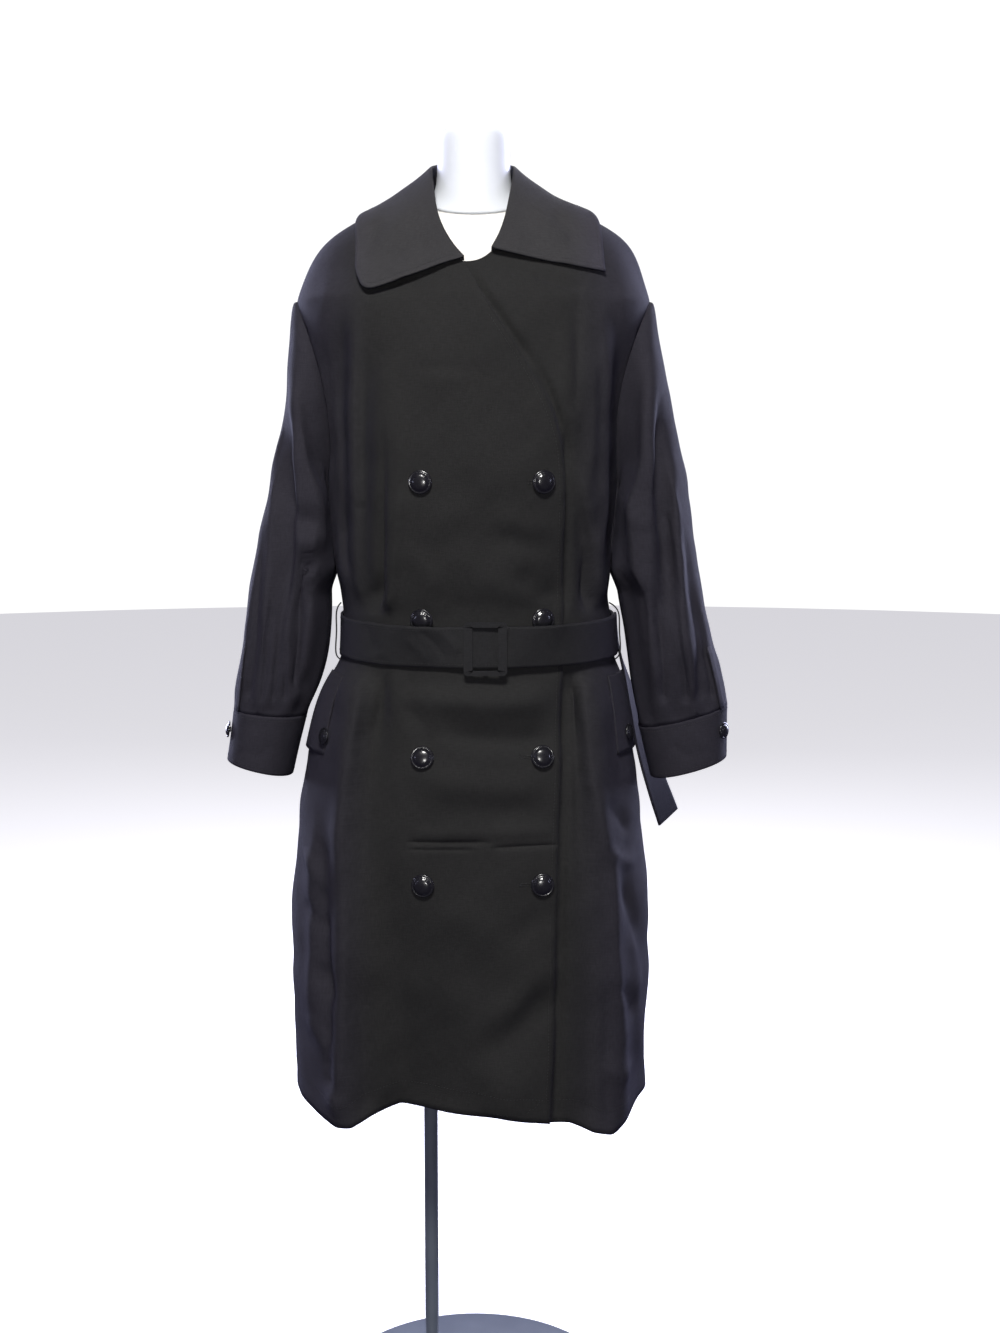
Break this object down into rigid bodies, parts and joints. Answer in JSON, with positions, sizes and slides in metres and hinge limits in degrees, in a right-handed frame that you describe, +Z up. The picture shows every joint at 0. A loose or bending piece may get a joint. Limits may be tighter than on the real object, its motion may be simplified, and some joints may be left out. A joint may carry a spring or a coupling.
{
  "type": "trench coat on a dress form",
  "caption": "Double-breasted belted trench coat with a wide turned-down collar, gathered sleeves and buttoned cuffs, hanging on a limbless dress form with a pole and round base.",
  "frame": {"origin": "centre of the base plate's underside, on the floor", "axes": "+Z up, the coat's front faces -Y, +X is the wearer's left"},
  "size_m": [0.5693, 0.35, 1.4695],
  "materials": {
    "front_right": "matt",
    "front_left": "matt",
    "back": "matt",
    "sleeve_right": "matt",
    "placket_right": "matt",
    "cuff_right": "matt",
    "sleeve_left": "matt",
    "placket_left": "matt",
    "cuff_left": "matt",
    "form_torso": "smooth stretched cover",
    "form_neck": "smooth",
    "form_socket": "satin",
    "pole": "satin",
    "pole_foot": "satin",
    "base_plate": "satin",
    "collar": "matt",
    "welt_right": "matt",
    "welt_left": "matt",
    "belt": "matt",
    "belt_end": "matt",
    "buckle": "cloth-covered",
    "belt_loop_right": "thread",
    "belt_loop_left": "thread",
    "button_right_1": "polished",
    "button_right_2": "polished",
    "button_right_3": "polished",
    "button_right_4": "polished",
    "button_left_1": "polished",
    "button_left_2": "polished",
    "button_left_3": "polished",
    "button_left_4": "polished",
    "pocket_button_right": "polished",
    "pocket_button_left": "polished",
    "cuff_button_right": "polished",
    "cuff_button_left": "polished"
  },
  "bodies": {
    "root": {"front_right": "front_right", "front_left": "front_left", "back": "back", "sleeve_right": "sleeve_right", "placket_right": "placket_right", "cuff_right": "cuff_right", "sleeve_left": "sleeve_left", "placket_left": "placket_left", "cuff_left": "cuff_left", "form_torso": "form_torso", "form_neck": "form_neck", "form_socket": "form_socket", "pole": "pole", "pole_foot": "pole_foot", "base_plate": "base_plate", "collar": "collar", "welt_right": "welt_right", "welt_left": "welt_left", "belt": "belt", "belt_end": "belt_end", "buckle": "buckle", "belt_loop_right": "belt_loop_right", "belt_loop_left": "belt_loop_left", "button_right_1": "button_right_1", "button_right_2": "button_right_2", "button_right_3": "button_right_3", "button_right_4": "button_right_4", "button_left_1": "button_left_1", "button_left_2": "button_left_2", "button_left_3": "button_left_3", "button_left_4": "button_left_4", "pocket_button_right": "pocket_button_right", "pocket_button_left": "pocket_button_left", "cuff_button_right": "cuff_button_right", "cuff_button_left": "cuff_button_left"}
  },
  "joints": []
}
